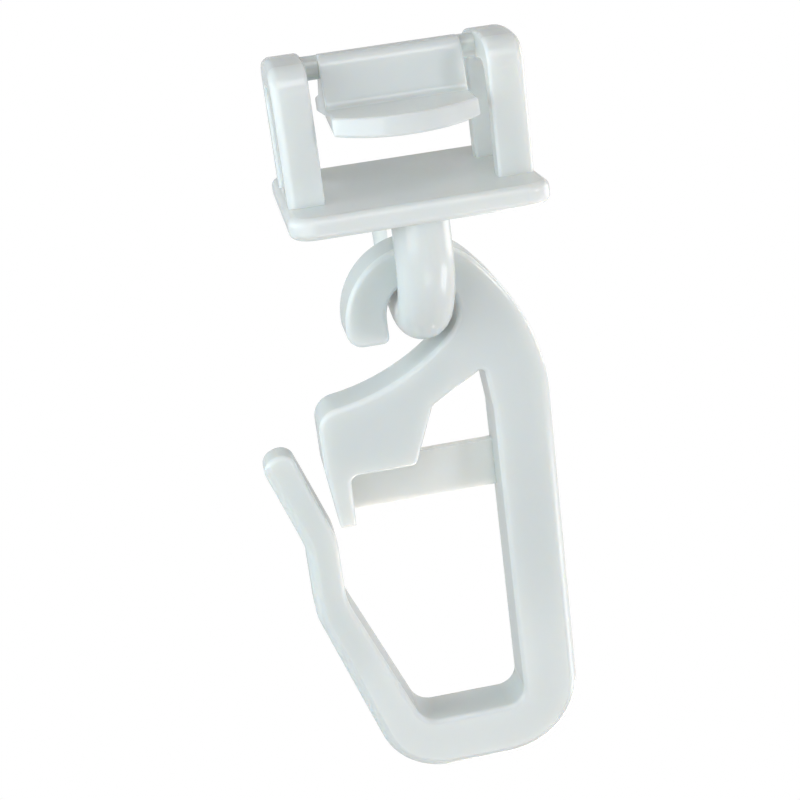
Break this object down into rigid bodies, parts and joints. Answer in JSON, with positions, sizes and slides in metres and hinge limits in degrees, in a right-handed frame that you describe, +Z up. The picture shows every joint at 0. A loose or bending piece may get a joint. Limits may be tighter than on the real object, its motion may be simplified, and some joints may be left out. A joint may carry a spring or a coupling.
{
  "type": "curtain glider",
  "caption": "Moulded curtain glider: a plate with slot frames and a spring latch runs in a rail, and a clip-on pleat hook swings from the bail under it.",
  "frame": {"origin": "middle of the plate's top face, which runs under the rail's flanges", "axes": "+X along the rail, +Z up into the rail, +Y to the back of the glider"},
  "size_m": [0.0183, 0.0142, 0.0479],
  "materials": {
    "glider_plastic": "white moulded acetal, satin gloss",
    "hook_plastic": "white moulded acetal, satin gloss"
  },
  "bodies": {
    "glider": {"glider": "glider_plastic"},
    "hook": {"pleat_hook": "hook_plastic"}
  },
  "joints": [
    {"name": "hook_swing", "type": "hinge", "parent": "glider", "child": "hook", "pos_m": [0, 0, -0.008], "axis": [0, 1, 0], "range_deg": [-80, 80]}
  ]
}
